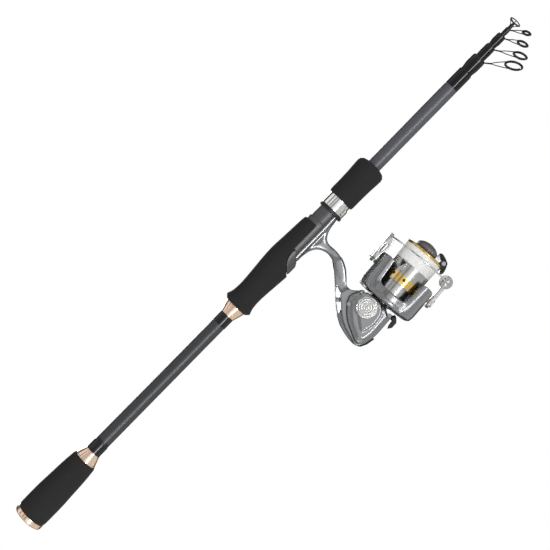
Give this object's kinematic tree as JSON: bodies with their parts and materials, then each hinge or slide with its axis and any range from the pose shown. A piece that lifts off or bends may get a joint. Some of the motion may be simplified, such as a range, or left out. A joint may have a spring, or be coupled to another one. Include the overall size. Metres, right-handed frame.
{
  "type": "fishing rod and reel",
  "caption": "Telescopic spinning rod, closed for carrying, with foam grips, wire line guides and a spinning reel clamped in its screw-locked seat.",
  "frame": {"origin": "centre of the flat butt end, on the rod axis", "axes": "+X along the rod from butt to tip, the reel hangs towards -Z, the crank is on the +Y side"},
  "size_m": [0.662, 0.1204, 0.1479],
  "materials": {
    "rose_gold": "anodised, polished",
    "dark_blank": "satin painted",
    "foam": "matt closed-cell foam",
    "black_varnish": "high-gloss varnish",
    "seat_plastic": "satin moulded",
    "polished_steel": "polished",
    "rubber": "matt",
    "black_wire": "black plated wire",
    "ceramic": "polished ceramic",
    "gunmetal": "metallic paint",
    "black_plastic": "moulded",
    "steel": "turned",
    "brass": "cut",
    "bright_silver": "bright",
    "spool_metal": "polished",
    "clear_line": "tight nylon winding",
    "gold": "gold anodised, polished",
    "felt": "oiled felt",
    "knob_grey": "moulded"
  },
  "bodies": {
    "rod_handle": {"base_tube": "dark_blank", "rear_grip": "foam", "rear_collar": "rose_gold", "rod_windings": "black_varnish", "middle_collar": "rose_gold", "main_grip": "foam", "reel_seat": "seat_plastic", "reel_body": "gunmetal", "side_cover": "gunmetal", "heel_guard": "black_plastic", "body_screws": "polished_steel", "gear_bearings": "steel", "rotor_bearing": "steel", "reverse_clutch": "brass", "guide_rod": "steel"},
    "butt_cap": {"butt_cap": "rose_gold"},
    "section_2": {"section_2": "black_varnish", "guide_2": "black_wire", "guide_ring_2": "ceramic"},
    "section_3": {"section_3": "black_varnish", "guide_3": "black_wire", "guide_ring_3": "ceramic"},
    "section_4": {"section_4": "black_varnish", "guide_4": "black_wire", "guide_ring_4": "ceramic"},
    "section_5": {"section_5": "black_varnish", "guide_5": "black_wire", "guide_ring_5": "ceramic"},
    "section_6": {"section_6": "black_varnish", "tip_frame": "black_wire", "tip_ring": "ceramic"},
    "seat_hood": {"hood": "polished_steel", "hood_ring": "rubber"},
    "lock_nut": {"lock_nut": "seat_plastic", "foregrip": "foam"},
    "crank": {"crank_shaft": "steel", "drive_gear": "brass", "crank_cap": "bright_silver", "crank_arm": "gunmetal", "knob_post": "steel"},
    "handle_knob": {"handle_knob": "black_plastic"},
    "rotor": {"pinion": "brass", "rotor": "gunmetal", "rotor_nut": "steel", "bail_screws": "polished_steel"},
    "bail": {"bail_arms": "bright_silver", "bail_wire": "polished_steel", "roller_cone": "bright_silver"},
    "line_roller": {"line_roller": "polished_steel"},
    "main_shaft": {"main_shaft": "steel", "oscillation_slider": "black_plastic", "drag_washers": "felt", "drag_spring": "steel"},
    "spool": {"spool": "spool_metal", "line_clip": "black_plastic", "line_fill": "clear_line", "spool_lip": "gold"},
    "drag_knob": {"drag_knob": "knob_grey"},
    "reverse_lever": {"reverse_lever": "black_plastic"},
    "oscillation_gear": {"oscillation_gear": "brass"}
  },
  "joints": [
    {"name": "butt_cap_unscrew", "type": "hinge", "parent": "rod_handle", "child": "butt_cap", "pos_m": [0.003, 0, 0], "axis": [1, 0, 0], "continuous": true},
    {"name": "section_2_draw", "type": "slide", "parent": "rod_handle", "child": "section_2", "axis": [1, 0, 0], "range_m": [0, 0.47]},
    {"name": "section_3_draw", "type": "slide", "parent": "section_2", "child": "section_3", "axis": [1, 0, 0], "range_m": [0, 0.47]},
    {"name": "section_4_draw", "type": "slide", "parent": "section_3", "child": "section_4", "axis": [1, 0, 0], "range_m": [0, 0.47]},
    {"name": "section_5_draw", "type": "slide", "parent": "section_4", "child": "section_5", "axis": [1, 0, 0], "range_m": [0, 0.47]},
    {"name": "section_6_draw", "type": "slide", "parent": "section_5", "child": "section_6", "axis": [1, 0, 0], "range_m": [0, 0.47]},
    {"name": "seat_hood_slide", "type": "slide", "parent": "rod_handle", "child": "seat_hood", "axis": [1, 0, 0], "range_m": [0, 0.0081]},
    {"name": "lock_nut_turn", "type": "hinge", "parent": "seat_hood", "child": "lock_nut", "pos_m": [0.437, 0, 0], "axis": [1, 0, 0], "range_deg": [0, 1440]},
    {"name": "crank_turn", "type": "hinge", "parent": "rod_handle", "child": "crank", "pos_m": [0.36867, 0, -0.08812], "axis": [0, 1, 0], "continuous": true},
    {"name": "handle_knob_spin", "type": "hinge", "parent": "crank", "child": "handle_knob", "pos_m": [0.45497, 0.068, -0.117], "axis": [0, 1, 0], "continuous": true},
    {"name": "rotor_spin", "type": "hinge", "parent": "rod_handle", "child": "rotor", "pos_m": [0.38925, 0, -0.0957], "axis": [0.9976, 0, 0.0698], "continuous": true},
    {"name": "bail_flip", "type": "hinge", "parent": "rotor", "child": "bail", "pos_m": [0.41219, 0, -0.0941], "axis": [-0.0698, 0, 0.9976], "range_deg": [0, 95]},
    {"name": "line_roller_spin", "type": "hinge", "parent": "bail", "child": "line_roller", "pos_m": [0.43751, -0.007, -0.12641], "axis": [-0.0145, -0.9781, 0.2074], "continuous": true},
    {"name": "spool_oscillation", "type": "slide", "parent": "rod_handle", "child": "main_shaft", "axis": [0.9976, 0, 0.0698], "range_m": [-0.009, 0]},
    {"name": "spool_slip", "type": "hinge", "parent": "main_shaft", "child": "spool", "pos_m": [0.42915, 0, -0.09291], "axis": [0.9976, 0, 0.0698], "continuous": true},
    {"name": "drag_knob_turn", "type": "hinge", "parent": "main_shaft", "child": "drag_knob", "pos_m": [0.4501, 0, -0.09145], "axis": [0.9976, 0, 0.0698], "continuous": true},
    {"name": "reverse_lever_flip", "type": "hinge", "parent": "rod_handle", "child": "reverse_lever", "pos_m": [0.37953, 0, -0.11443], "axis": [-0.0698, 0, 0.9976], "range_deg": [0, 40]},
    {"name": "oscillation_gear_turn", "type": "hinge", "parent": "rod_handle", "child": "oscillation_gear", "pos_m": [0.36331, 0, -0.09752], "axis": [0, 1, 0], "continuous": true}
  ],
  "couplings": [
    {"joint": "seat_hood_slide", "follows": "lock_nut_turn", "m_per_rad": 0.00031831},
    {"joint": "rotor_spin", "follows": "crank_turn", "ratio": 5.2222},
    {"joint": "oscillation_gear_turn", "follows": "crank_turn", "ratio": -0.6667}
  ]
}
